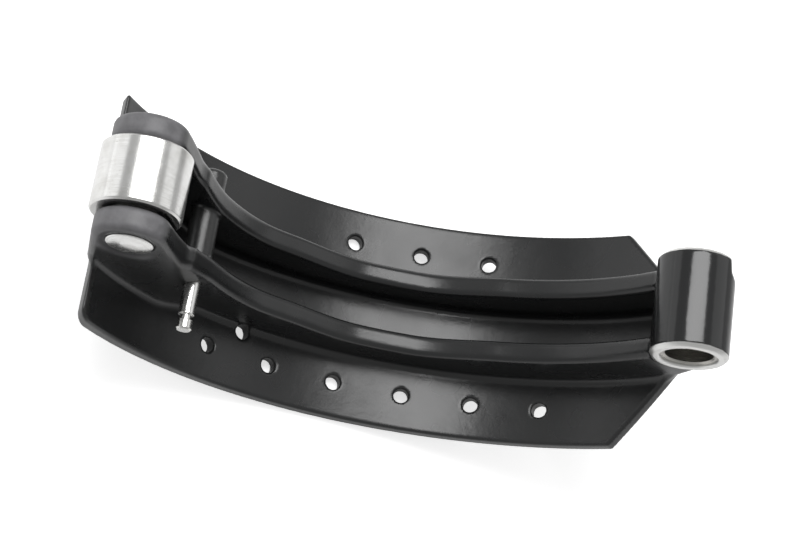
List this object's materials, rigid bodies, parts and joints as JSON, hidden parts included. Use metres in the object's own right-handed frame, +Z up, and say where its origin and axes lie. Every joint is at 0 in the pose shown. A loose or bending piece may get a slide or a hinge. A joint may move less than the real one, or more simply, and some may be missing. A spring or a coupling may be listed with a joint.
{
  "type": "brake shoe",
  "caption": "Cast black brake shoe without lining: curved table on two webs, steel cam roller at one end, bushed anchor eye at the other, and a grooved spring pin.",
  "frame": {"origin": "middle of the anchor bore, on its axis", "axes": "+Y along the anchor bore and the drum axis, away from the return spring pin's long end. +X from the roller end to the anchor end. +Z up, from the curved table towards the drum axis, with the shoe lying on its curved back"},
  "size_m": [0.3355, 0.125, 0.1719],
  "materials": {
    "black_paint": "gloss",
    "turned_steel": "satin",
    "ground_steel": "satin",
    "bush_metal": "satin"
  },
  "bodies": {
    "shoe": {"shoe_casting": "black_paint", "roller_pin": "ground_steel", "anchor_bush": "bush_metal", "return_spring_pin": "ground_steel"},
    "roller": {"cam_roller": "turned_steel"}
  },
  "joints": [
    {"name": "roller_spin", "type": "hinge", "parent": "shoe", "child": "roller", "pos_m": [-0.29144, 0, -0.03384], "axis": [0, 1, 0], "continuous": true}
  ]
}
